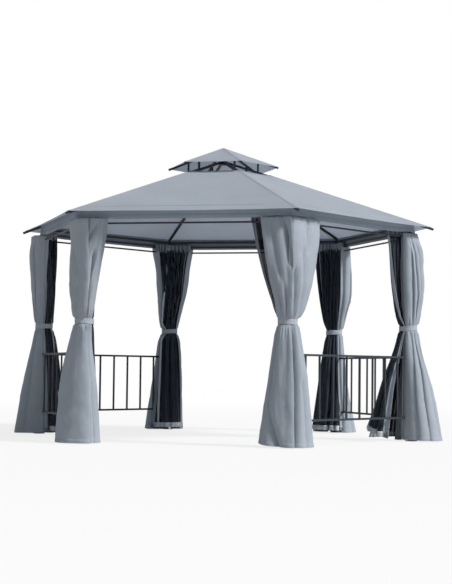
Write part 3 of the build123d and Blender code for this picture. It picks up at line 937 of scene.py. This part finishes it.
# The end of a rafter's axis, which lies a little below the line of the hip
def rafter_place(radius, height, corner, slope, below):
    tilt = Matrix.Rotation(radians(SECTOR * corner), 4, "Z") @ Matrix.Translation((radius, 0, height))
    return tilt @ Matrix.Rotation(atan(slope), 4, "Y") @ Matrix.Translation((0, 0, -below))


# A hook: a ring over the rail or rod, and a flat tongue from it that holds the header, bent at its end
def hook(ring_radius, wire, start, tongue, bent):
    ring = primitive(
        bpy.ops.mesh.primitive_torus_add, major_segments=16, minor_segments=6,
        major_radius=ring_radius, minor_radius=wire, rotation=(pi / 2, 0, pi / 2),
    )
    tab = primitive(bpy.ops.mesh.primitive_cube_add, size=1, location=start, scale=tongue)
    end = max(range(3), key=lambda axis: tongue[axis])
    way = 1 if start[end] > 0 else -1
    edit_faces(tab, lambda polygon: polygon.normal[end] * way > 0.9)
    bpy.ops.mesh.extrude_region_move(TRANSFORM_OT_translate={"value": bent})
    bpy.ops.mesh.select_all(action="SELECT")
    bpy.ops.mesh.bevel(offset=0.0005, segments=1, affect="EDGES")
    bpy.ops.object.mode_set(mode="OBJECT")
    made = joined([ring, tab], "hook")
    settled(made)
    return made


# A coach bolt in a rail's end: a domed head on a turned collar
def coach_bolt():
    radius, collar, step_in, rise = 0.0065, 0.0016, 0.0014, 0.0012
    bolt = primitive(
        bpy.ops.mesh.primitive_cylinder_add, vertices=16, radius=radius, depth=collar,
        location=(collar / 2, 0, 0), rotation=(0, pi / 2, 0),
    )
    edit_faces(bolt, lambda polygon: polygon.normal.x > 0.9)
    bpy.ops.mesh.inset(thickness=step_in)
    bpy.ops.mesh.extrude_region_move(TRANSFORM_OT_translate={"value": (rise, 0, 0)})
    bpy.ops.mesh.inset(thickness=0.0018)
    bpy.ops.transform.translate(value=(rise, 0, 0))
    settled(bolt)
    return bolt


for name, width, radius, height, slope, below in (
    ("rafter_end_caps", 0.0204, EAVE_RADIUS + RAFTER_OVERHANG, hip_height, ROOF_RISE, 0.0118),
    ("cap_end_caps", 0.0164, CAP_RADIUS - CAP_RAFTER_SETBACK, cap_hip_height, CAP_RISE, 0.0098),
):
    cap_pattern = end_cap(width)
    places = [rafter_place(radius, height(radius), corner, slope, below) for corner in range(6)]
    placed_copies(cap_pattern, places, name, nylon)
    put_away(cap_pattern)


# Five hooks along the top of a gathered cloth, from beside the post to just inside the cloth's end
def hook_places(side, half, height, reach, first_gap, end_gap):
    turn = Matrix.Rotation(radians(facing(side)), 4, "Z")
    across = Matrix.Rotation(pi / 2, 4, "Z")
    gaps = np.linspace(first_gap, reach - end_gap, 5)
    return [
        turn @ Matrix.Translation((SIDE_DISTANCE, half * (HALF_SIDE - gap), height)) @ across
        for gap in gaps
    ]


rail_hook = hook(
    ring_radius=0.0145, wire=0.0018, start=(0, 0, -0.0200), tongue=(0.006, 0.0022, 0.011),
    bent=(0, 0.002, -0.004),
)
rod_hook = hook(
    ring_radius=0.0112, wire=0.0016, start=(0, 0.0225, 0), tongue=(0.0055, 0.0230, 0.0030),
    bent=(0, 0.003, 0.024),
)
# A ring hangs on its rail or rod with its middle a little below the tube's
RAIL_RING_HEIGHT = RAIL_HEIGHT - 0.0016
ROD_RING_HEIGHT = ROD_HEIGHT - 0.0013
for side, name in enumerate(SIDES):
    rail_places, rod_places = [], []
    for post, end, half in ((POSTS[side], "a", -1), (POSTS[(side + 1) % 6], "b", 1)):
        rail_places += hook_places(side, half, RAIL_RING_HEIGHT, HANGS[post][end][0], 0.035, 0.020)
        rod_places += hook_places(side, half, ROD_RING_HEIGHT, net_reaches(post, end)[0], 0.045, 0.025)
    placed_copies(rail_hook, rail_places, "curtain_hooks_" + name, nylon, angle=50)
    placed_copies(rod_hook, rod_places, "net_hooks_" + name, nylon, angle=50)
put_away(rail_hook)
put_away(rod_hook)

BOLT_FROM_POST = 0.036
bolt_pattern = coach_bolt()
places = []
for name in RAILING_SIDES:
    turn = Matrix.Rotation(radians(facing(SIDES.index(name))), 4, "Z")
    for half in (-1, 1):
        for height in RAILING_HEIGHTS:
            place = (SIDE_DISTANCE + RAILING_TUBE / 2, half * (HALF_SIDE - BOLT_FROM_POST), height)
            places.append(turn @ Matrix.Translation(place))
placed_copies(bolt_pattern, places, "railing_bolts", zinc, angle=40)
put_away(bolt_pattern)


# Finishes of the frame's own parts
for name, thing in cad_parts.items():
    finish = railing_coat if name.startswith("railing_") else frame_coat
    for slot in thing.material_slots:
        slot.material = finish


# 1 for what is seen, also in a gloss or through glass, and 0 for the light that falls on the gazebo
def seen_rays(tree):
    path = node(tree, "ShaderNodeLightPath")
    seen = path.outputs["Is Camera Ray"]
    for ray in ("Is Glossy Ray", "Is Transmission Ray"):
        seen = node(tree, "ShaderNodeMath", {0: seen, 1: path.outputs[ray]}, operation="MAXIMUM")
    return seen


def stage_floor():
    bpy.ops.object.select_all(action="DESELECT")
    bpy.ops.mesh.primitive_plane_add(size=160, location=(0, 0, -0.0005))
    floor = bpy.context.active_object
    floor.name = "studio_floor"
    material, tree = blank_material("matt_floor")
    seen = seen_rays(tree)
    # The floor's own glow grows with the distance from the gazebo, so that it fades into the white behind it
    place = node(tree, "ShaderNodeTexCoord").outputs["Object"]
    distance = node(tree, "ShaderNodeVectorMath", {0: place}, operation="LENGTH")
    glow = node(
        tree, "ShaderNodeMapRange", {"Value": distance.outputs["Value"]}, interpolation_type="SMOOTHSTEP",
        From_Min=3.5, From_Max=16.0, To_Min=0.80, To_Max=0.985,
    )
    share = node(tree, "ShaderNodeMath", {0: seen, 1: glow}, operation="MULTIPLY")
    paint = node(tree, "ShaderNodeBsdfPrincipled", Base_Color=linear("CECECE"), Roughness=0.9)
    white = node(tree, "ShaderNodeEmission", Color=(1, 1, 1, 1), Strength=1.0)
    mixed = node(tree, "ShaderNodeMixShader", {0: share, 1: paint, 2: white})
    node(tree, "ShaderNodeOutputMaterial", {"Surface": mixed})
    floor.data.materials.append(material)


def lamp(name, azimuth, elevation, strength, spread, colour=(1, 1, 1)):
    data = bpy.data.lights.new(name, "SUN")
    data.energy = strength
    data.angle = radians(spread)
    data.color = colour
    made = bpy.data.objects.new(name, data)
    toward = polar(cos(radians(elevation)), azimuth, sin(radians(elevation)))
    made.rotation_euler = toward.to_track_quat("Z", "Y").to_euler()
    bpy.context.scene.collection.objects.link(made)


# The world is white to look at, and lights the gazebo softly
def background():
    world = bpy.data.worlds.new("studio")
    bpy.context.scene.world = world
    world.use_nodes = True
    tree = world.node_tree
    tree.nodes.clear()
    soft = node(tree, "ShaderNodeBackground", Color=linear("E4EAF2"), Strength=0.33)
    white = node(tree, "ShaderNodeBackground", Color=(1, 1, 1, 1), Strength=1.0)
    mixed = node(tree, "ShaderNodeMixShader", {0: seen_rays(tree), 1: soft, 2: white})
    node(tree, "ShaderNodeOutputWorld", {"Surface": mixed})


stage_floor()
lamp("key_lamp", azimuth=-14, elevation=42, strength=4.0, spread=12, colour=(1.0, 0.98, 0.96))
lamp("fill_lamp", azimuth=-90, elevation=50, strength=0.14, spread=60)
background()

bpy.context.scene.view_settings.view_transform = "Standard"
